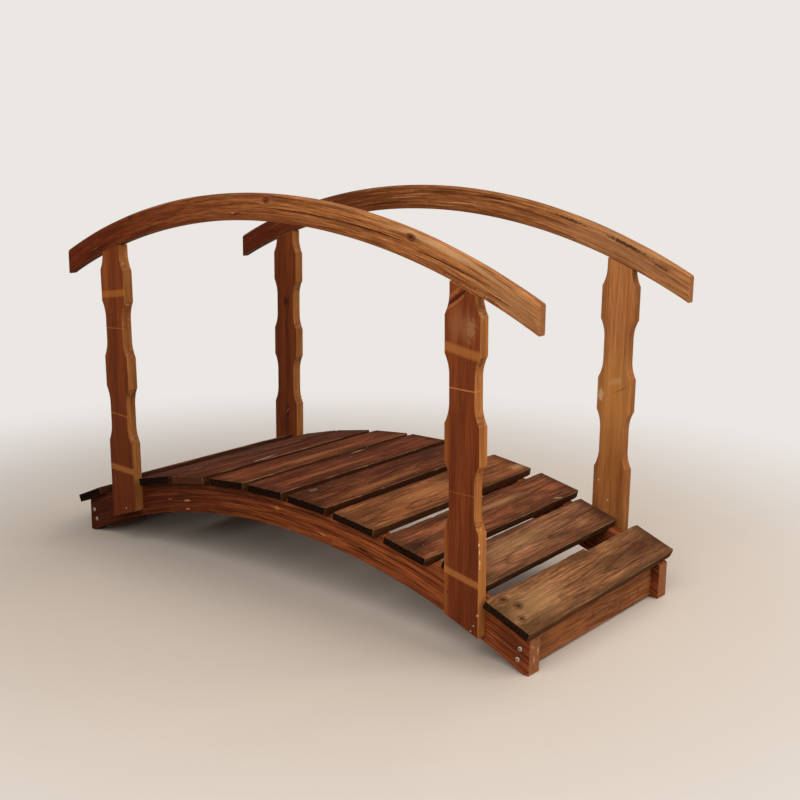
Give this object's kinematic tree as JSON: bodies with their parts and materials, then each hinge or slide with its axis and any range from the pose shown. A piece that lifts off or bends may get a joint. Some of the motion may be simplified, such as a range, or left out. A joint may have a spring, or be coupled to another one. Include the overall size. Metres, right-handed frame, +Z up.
{
  "type": "moon bridge",
  "caption": "Small wooden moon bridge: sawn arches carry a boarded walking deck, with arched handrails on scalloped posts along both sides.",
  "frame": {"origin": "on the floor under the middle of the overall length and width", "axes": "+X along the bridge from the left end to the right end, +Y across it from the front side to the back side, +Z up"},
  "size_m": [1.4486, 0.64, 0.9199],
  "materials": {
    "stringer_wood": "reddish brown stained softwood, satin",
    "deck_wood": "dark brown stained boards, weathered and worn",
    "post_wood": "reddish brown stained softwood with paler sawn edges, satin",
    "rail_wood": "honey brown oiled softwood, satin"
  },
  "bodies": {
    "root": {"front_stringer": "stringer_wood", "back_stringer": "stringer_wood", "left_crossbar": "stringer_wood", "right_crossbar": "stringer_wood", "deck_board_01": "deck_wood", "deck_board_02": "deck_wood", "deck_board_03": "deck_wood", "deck_board_04": "deck_wood", "deck_board_05": "deck_wood", "deck_board_06": "deck_wood", "deck_board_07": "deck_wood", "deck_board_08": "deck_wood", "deck_board_09": "deck_wood", "deck_board_10": "deck_wood", "deck_board_11": "deck_wood", "front_left_post": "post_wood", "front_right_post": "post_wood", "back_left_post": "post_wood", "back_right_post": "post_wood", "front_handrail": "rail_wood", "back_handrail": "rail_wood"}
  },
  "joints": []
}
